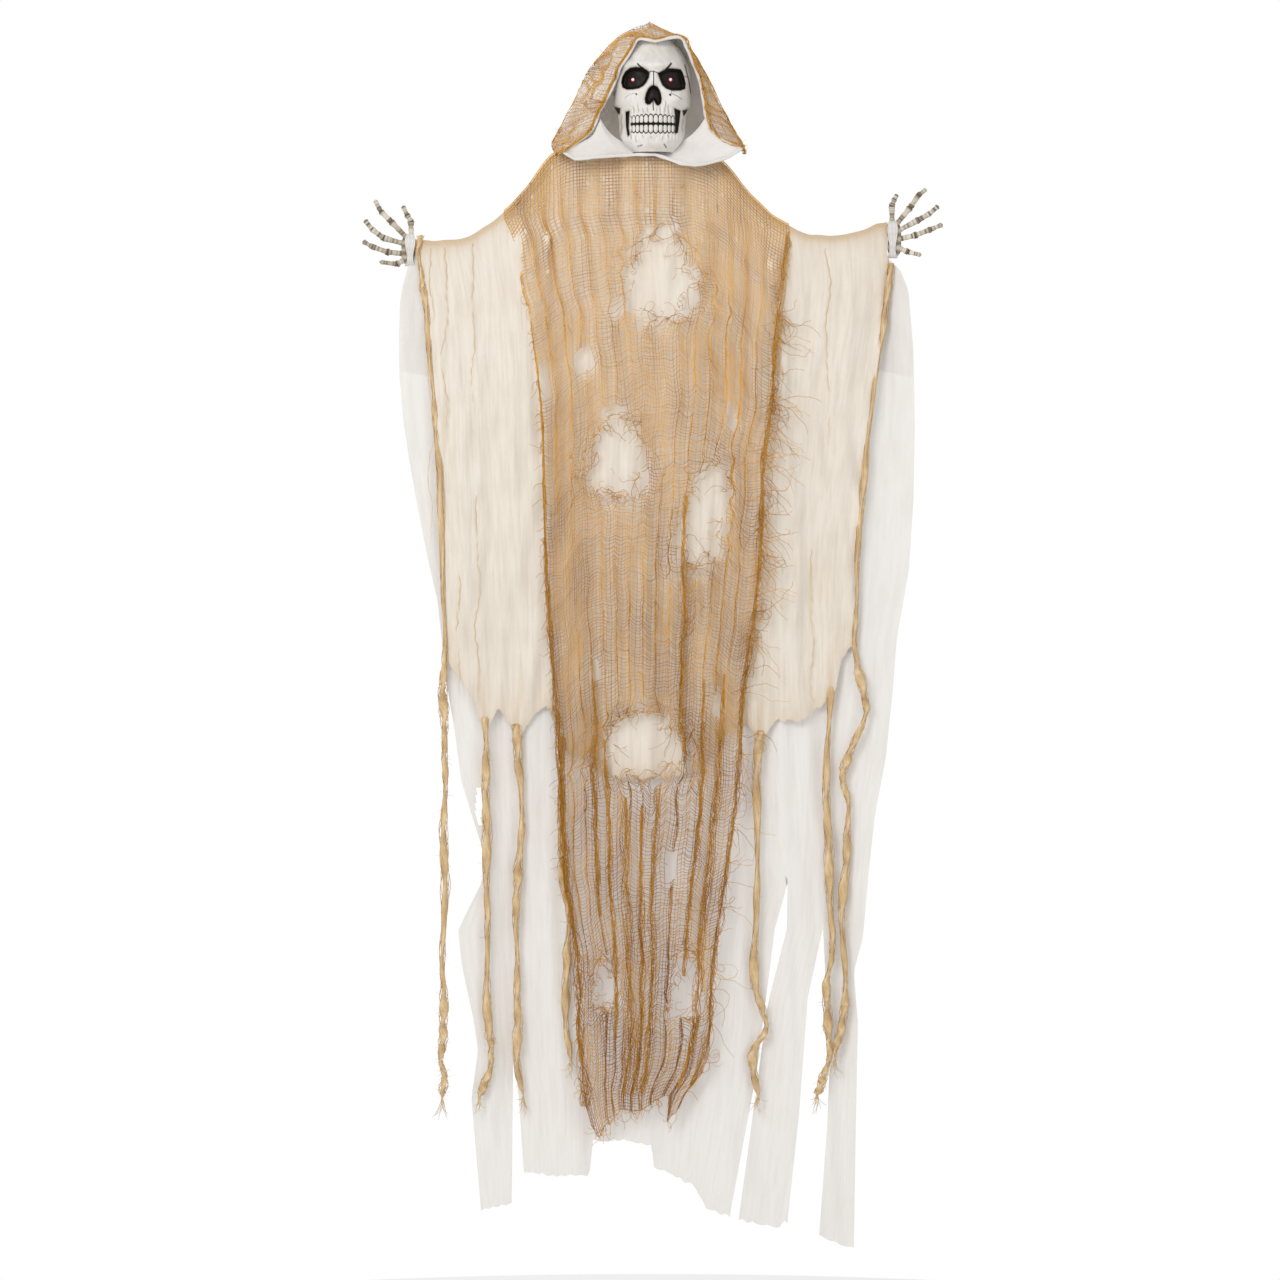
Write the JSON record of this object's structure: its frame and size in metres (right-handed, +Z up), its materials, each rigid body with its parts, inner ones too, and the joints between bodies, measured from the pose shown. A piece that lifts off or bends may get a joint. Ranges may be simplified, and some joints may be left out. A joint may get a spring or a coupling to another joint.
{
  "type": "hanging reaper decoration",
  "caption": "Hanging skeletal reaper: a lit skull in a lined net hood, wire arms with bone hands, and tattered white, cream and brown cloth",
  "frame": {"origin": "centre of the hanging eye's ring, on top of the head", "axes": "+Z up; the face looks along -Y; +X is the viewer's right"},
  "size_m": [0.8696, 0.1514, 1.8318],
  "materials": {
    "bone_plastic": "matte",
    "hand_plastic": "matte",
    "red_light": "glossy",
    "red_lead": "satin",
    "black_plastic": "matte",
    "knob_plastic": "matte",
    "cell_skin": "satin",
    "steel": "satin",
    "foam": "matte",
    "white_cloth": "matte",
    "lining_cloth": "matte",
    "cream_gauze": "matte",
    "brown_net": "matte"
  },
  "bodies": {
    "decoration": {"skull_face": "bone_plastic", "skull_back": "bone_plastic", "left_eye_led": "red_light", "right_eye_led": "red_light", "left_led_wire": "red_lead", "right_led_wire": "red_lead", "hanging_eye": "steel", "battery_box": "black_plastic", "battery_cover": "black_plastic", "cover_screw": "steel", "battery_1": "cell_skin", "battery_2": "cell_skin", "contact_plate_left": "steel", "contact_plate_right": "steel", "neck_block": "foam", "arm_wire": "steel", "left_hand": "hand_plastic", "right_hand": "hand_plastic", "left_cuff": "white_cloth", "right_cuff": "white_cloth", "hood_lining": "lining_cloth", "hood_net": "brown_net", "net_panel": "brown_net", "cream_robe_front": "cream_gauze", "cream_robe_back": "cream_gauze", "white_gown_front": "white_cloth", "white_gown_back": "white_cloth"},
    "switch": {"switch_knob": "knob_plastic"}
  },
  "joints": [
    {"name": "switch_slide", "type": "slide", "parent": "decoration", "child": "switch", "axis": [1, 0, 0], "range_m": [-0.003, 0]}
  ]
}
